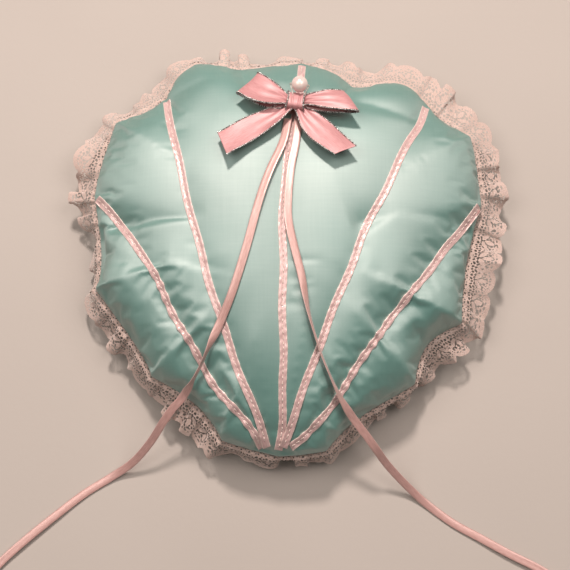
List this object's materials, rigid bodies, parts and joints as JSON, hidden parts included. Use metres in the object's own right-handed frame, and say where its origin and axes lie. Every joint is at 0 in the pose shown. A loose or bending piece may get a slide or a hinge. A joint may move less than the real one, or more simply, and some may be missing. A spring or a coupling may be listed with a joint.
{
  "type": "ring bearer pillow",
  "caption": "Scallop-shell satin cushion with a gathered lace edge, sewn rib ribbons, a bow with a pearl on a thread shank, and a long ribbon that ties wedding rings on.",
  "frame": {"origin": "middle of the cushion's outline, on the surface its back lies on", "axes": "+Z out of the front, +Y towards the scalloped top, +X to the right as seen from the front"},
  "size_m": [0.2478, 0.2269, 0.0485],
  "materials": {
    "satin": "glossy satin weave",
    "polyester_fill": "soft white fibre",
    "lace": "matt ivory thread lace",
    "thread": "twisted sewing thread",
    "narrow_ribbon": "glossy satin ribbon",
    "bow_ribbon": "glossy satin ribbon with metallic edge thread",
    "pearl": "pearlescent coat"
  },
  "bodies": {
    "pillow": {"front_panel": "satin", "back_panel": "satin", "fibre_filling": "polyester_fill", "lace_ruffle": "lace", "lace_gathering_thread": "thread", "seam_stitching": "thread", "closing_stitches": "thread", "rib_ribbon_outer_left": "narrow_ribbon", "rib_ribbon_inner_left": "narrow_ribbon", "rib_ribbon_centre": "narrow_ribbon", "rib_ribbon_inner_right": "narrow_ribbon", "rib_ribbon_outer_right": "narrow_ribbon", "rib_stitching_outer_left": "thread", "rib_stitching_inner_left": "thread", "rib_stitching_centre": "thread", "rib_stitching_inner_right": "thread", "rib_stitching_outer_right": "thread", "ring_ribbon_left": "narrow_ribbon", "ring_ribbon_right": "narrow_ribbon", "ring_ribbon_knot": "narrow_ribbon", "bow_tack_thread": "thread"},
    "bow": {"bow_knot": "bow_ribbon", "bow_loop_left": "bow_ribbon", "bow_loop_right": "bow_ribbon", "bow_tail_left": "bow_ribbon", "bow_tail_right": "bow_ribbon", "pearl_thread": "thread"},
    "pearl": {"pearl_bead": "pearl"}
  },
  "joints": [
    {"name": "bow_swivel", "type": "hinge", "parent": "pillow", "child": "bow", "pos_m": [0.003, 0.054, 0.03814], "axis": [0, 0.3202, 0.9474], "range_deg": [-12, 12]},
    {"name": "pearl_spin", "type": "hinge", "parent": "bow", "child": "pearl", "pos_m": [0.00448, 0.06227, 0.04545], "axis": [0.9903, -0.1318, 0.0446], "continuous": true}
  ]
}
